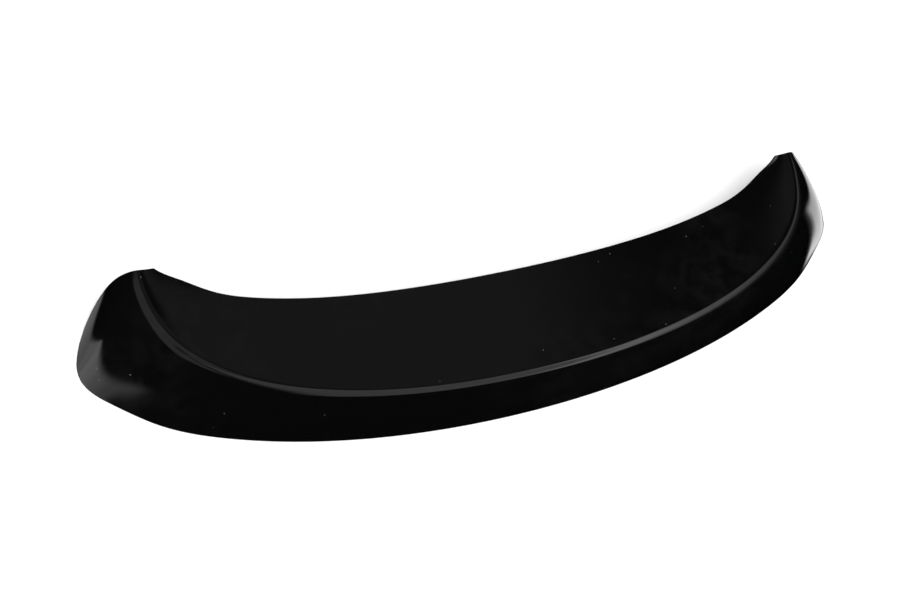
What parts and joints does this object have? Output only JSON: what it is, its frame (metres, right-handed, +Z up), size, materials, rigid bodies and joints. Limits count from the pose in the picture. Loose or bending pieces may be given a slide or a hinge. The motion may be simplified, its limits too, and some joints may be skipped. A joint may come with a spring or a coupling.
{
  "type": "car spoiler cap",
  "caption": "Curved gloss black moulded spoiler cap for the rear of a car, a thin shell with a raised ridge and wrapped ends.",
  "frame": {"origin": "centre of the plan's box, on the plane of the lower rim", "axes": "+X across the car, +Y towards the front of the car, +Z up"},
  "size_m": [1.1294, 0.262, 0.0599],
  "materials": {
    "gloss_black": "high gloss, moulded"
  },
  "bodies": {
    "root": {"spoiler_cap": "gloss_black"}
  },
  "joints": []
}
